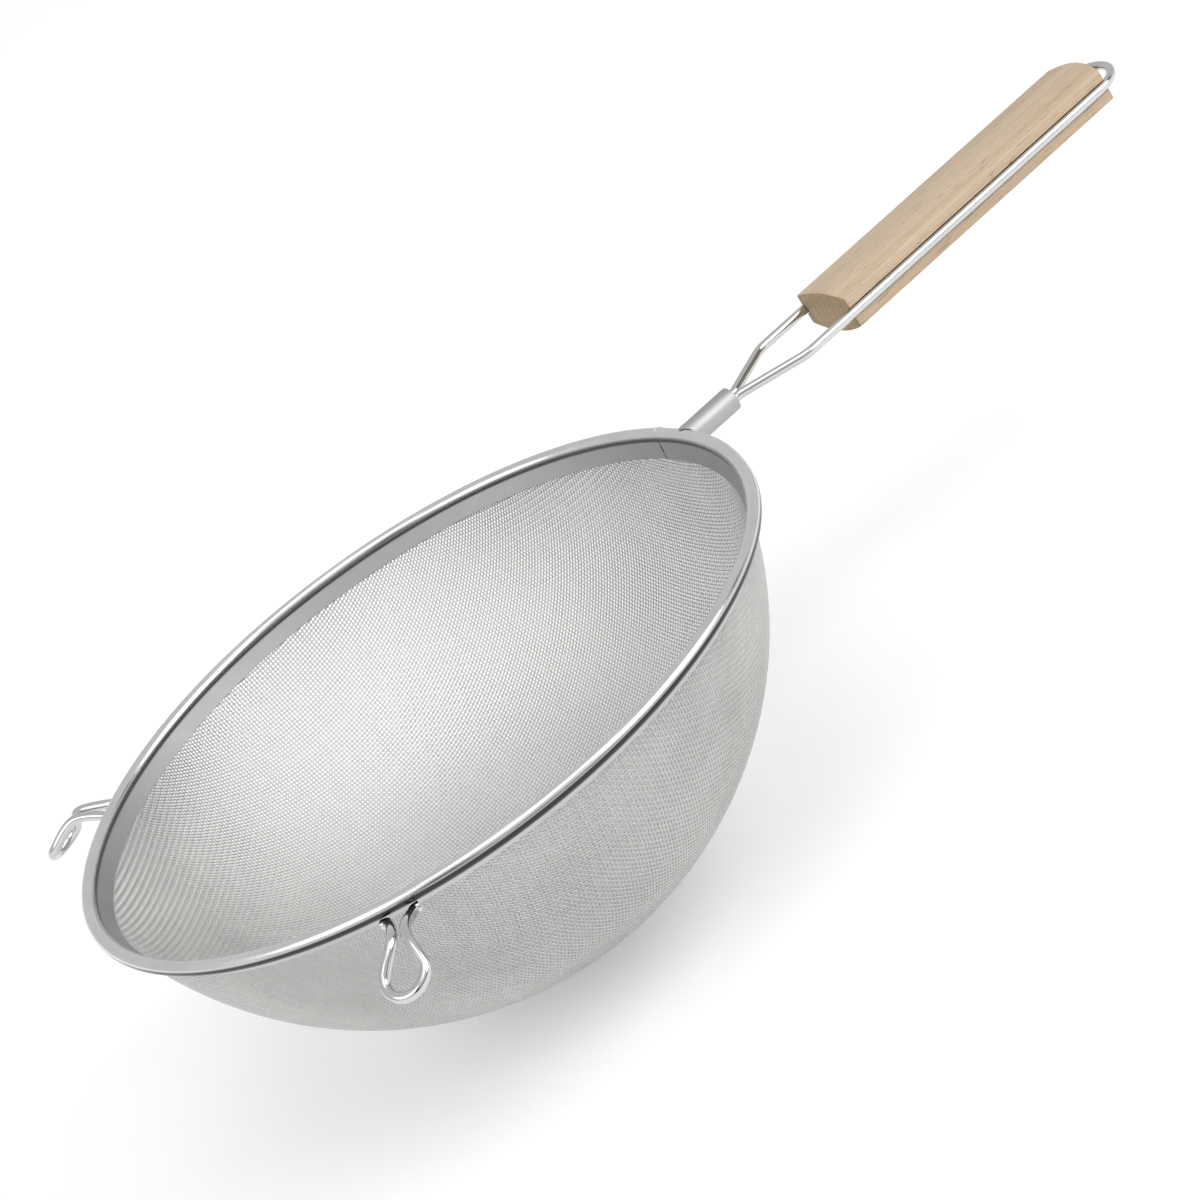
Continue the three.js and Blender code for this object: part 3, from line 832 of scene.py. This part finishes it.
def pale_wood():
    """Sanded pale hardwood: long soft bands, fine fibres, short dark flecks, and darker end grain."""
    material, tree, shader = new_material("pale_hardwood")
    place = own_place(tree)
    bands = stretched_noise(tree, place, (6, 150, 110), 1, 3)
    fibres = stretched_noise(tree, place, (40, 2600, 2600), 1, 2)
    flecks = stretched_noise(tree, place, (170, 1500, 1500), 1, 2)
    dark, middle, light = WOOD_BANDS
    colour = ramp(tree, bands, (0.28, dark), (0.5, middle), (0.72, light))
    colour = blend(tree, "MULTIPLY", 1.0, colour, ramp(tree, fibres, (0.3, 0.86), (0.65, 1.0)))
    colour = blend(tree, "MULTIPLY", 1.0, colour, ramp(tree, flecks, (0.30, 0.66), (0.40, 1.0)))
    pores = stretched_noise(tree, place, (1, 1300, 1300), 1, 2)
    rings = stretched_noise(tree, place, (1, 420, 60), 1, 2)
    end_dark, end_light = WOOD_END_GRAIN
    end_grain = ramp(tree, rings, (0.3, end_dark), (0.7, end_light))
    end_grain = blend(tree, "MULTIPLY", 1.0, end_grain, ramp(tree, pores, (0.35, 0.72), (0.6, 1.0)))
    facing = tree.nodes.new("ShaderNodeSeparateXYZ")
    normal = tree.nodes.new("ShaderNodeNewGeometry").outputs["Normal"]
    tree.links.new(normal, facing.inputs["Vector"])
    endward = calculate(tree, "ABSOLUTE", facing.outputs["X"])
    is_end = ramp(tree, endward, (0.55, 0.0), (0.85, 1.0))
    tree.links.new(blend(tree, "MIX", is_end, colour, end_grain), shader.inputs["Base Color"])
    tree.links.new(ramp(tree, fibres, (0.3, 0.62), (0.7, 0.48)), shader.inputs["Roughness"])
    raise_surface(tree, shader, blend(tree, "MULTIPLY", 1.0, fibres, flecks), 0.25, 0.06 * MM)
    return material


# Studio

def add_camera():
    data = bpy.data.cameras.new("photo_camera")
    data.lens = CAMERA_LENS
    data.sensor_width = CAMERA_SENSOR
    camera = place_object("photo_camera", data)
    camera.location = CAMERA_PLACE
    camera.rotation_mode = "QUATERNION"
    level = (Vector(CAMERA_AIM) - Vector(CAMERA_PLACE)).to_track_quat("-Z", "Y")
    camera.rotation_quaternion = level @ Quaternion((0, 0, 1), math.radians(-CAMERA_ROLL))
    bpy.context.scene.camera = camera


def stage_piece(name, corners, faces, material):
    mesh = bpy.data.meshes.new(name)
    mesh.from_pydata(corners, [], faces)
    mesh.materials.append(material)
    piece = place_object(name, mesh)
    return piece


def matt_paint(name, tone):
    material, tree, shader = new_material(name)
    shader.inputs["Base Color"].default_value = grey(tone)
    shader.inputs["Roughness"].default_value = MATT_ROUGHNESS
    shader.inputs["Specular IOR Level"].default_value = 0
    return material, tree, shader


def floor_material():
    """White floor. Seen directly or in the steel it is lifted to paper white where nothing shades it."""
    material, tree, shader = matt_paint("white_floor", FLOOR_TONE)
    shader.inputs["Emission Color"].default_value = grey(FLOOR_LIFT)
    ray = tree.nodes.new("ShaderNodeLightPath").outputs
    seen = calculate(tree, "ADD", ray["Is Camera Ray"], ray["Is Glossy Ray"])
    tree.links.new(seen, shader.inputs["Emission Strength"])
    return material


def outward(azimuth, elevation):
    turn, tip = math.radians(azimuth), math.radians(elevation)
    return Vector((math.cos(turn) * math.cos(tip), math.sin(turn) * math.cos(tip), math.sin(tip)))


def softbox(name, azimuth, elevation, spread, brightness):
    """A round lamp that faces the bowl. Spread is half the angle under which the bowl sees it.

    At a brightness of 1 the lamp itself looks white.
    """
    radius = LAMP_DISTANCE * math.tan(math.radians(spread))
    data = bpy.data.lights.new(name, "AREA")
    data.shape = "DISK"
    data.size = 2 * radius
    data.energy = brightness * math.pi * math.pi * radius**2
    lamp = place_object(name, data)
    out = outward(azimuth, elevation)
    lamp.location = out * LAMP_DISTANCE + Vector(CAMERA_AIM)
    lamp.rotation_mode = "QUATERNION"
    lamp.rotation_quaternion = out.to_track_quat("Z", "Y")


def light_studio():
    """An even white dome and three softboxes, which the polished wires mirror as broad highlights."""
    world = bpy.data.worlds.new("white_dome")
    world.use_nodes = True
    dome = world.node_tree.nodes["Background"]
    dome.inputs["Color"].default_value = grey(1)
    dome.inputs["Strength"].default_value = DOME_STRENGTH
    bpy.context.scene.world = world
    bpy.context.scene.view_settings.view_transform = "Standard"
    softbox("top_softbox", azimuth=255, elevation=70, spread=22, brightness=1.2)
    softbox("right_softbox", azimuth=315, elevation=32, spread=24, brightness=2.5)
    softbox("left_softbox", azimuth=190, elevation=38, spread=20, brightness=1.6)


def dark_wall(name, material, azimuths, elevations):
    """A curved wall round the bowl, between two azimuths and two elevations. Only mirrors show it."""
    middle = Vector((0, 0, BOWL_DEPTH * MM))
    corners = []
    for azimuth in np.linspace(*azimuths, WALL_STEPS + 1):
        for elevation in elevations:
            corners.append(outward(azimuth, elevation) * WALL_DISTANCE + middle)
    faces = [(2 * i, 2 * i + 2, 2 * i + 3, 2 * i + 1) for i in range(WALL_STEPS)]
    wall = stage_piece(name, corners, faces, material)
    wall.visible_camera = False
    wall.visible_diffuse = False
    wall.visible_shadow = False


def dress_stage():
    """The floor, and the dark walls that draw dark lines along the polished rim."""
    half = FLOOR_SIZE / 2
    corners = [(-half, -half, 0), (half, -half, 0), (half, half, 0), (-half, half, 0)]
    stage_piece("floor", corners, [(0, 1, 2, 3)], floor_material())
    dark = matt_paint("dark_flag", WALL_TONE)[0]
    dark_wall("wall_front", dark, azimuths=(222, 238), elevations=(14, 30))
    dark_wall("wall_right", dark, azimuths=(-16, 0), elevations=(14, 30))
    dark_wall("wall_low", dark, azimuths=(222, 312), elevations=(2, 12))


# All pieces

def build():
    """Every new piece. The hidden hoop stays as the solid model has it and only gets a material."""
    cloth = cloth_steel()
    rim = steel("rolled_sheet", dark=0.72, light=0.79, smooth=0.16, rough=0.26, line_width=0.12,
                section=rim_painted_shade())
    sheet = steel("satin_sheet", dark=0.46, light=0.52, smooth=0.45, rough=0.55, line_width=0.12)
    wire = steel("polished_wire", dark=0.62, light=0.68, smooth=0.10, rough=0.18, line_width=0.2)
    wood = pale_wood()
    weave_bowl(cloth)
    rim_band(rim)
    rest_hook("hook_left", "rest_hook_left", HOOK_LEFT, wire)
    rest_hook("hook_right", "rest_hook_right", HOOK_RIGHT, wire)
    handle_wire(wire)
    neck_sleeve(sheet)
    wood_grip(wood)
    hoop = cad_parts["rim_hoop_wire"].data
    hoop.materials.clear()
    hoop.materials.append(hidden_steel())


build()
dress_stage()
light_studio()
add_camera()
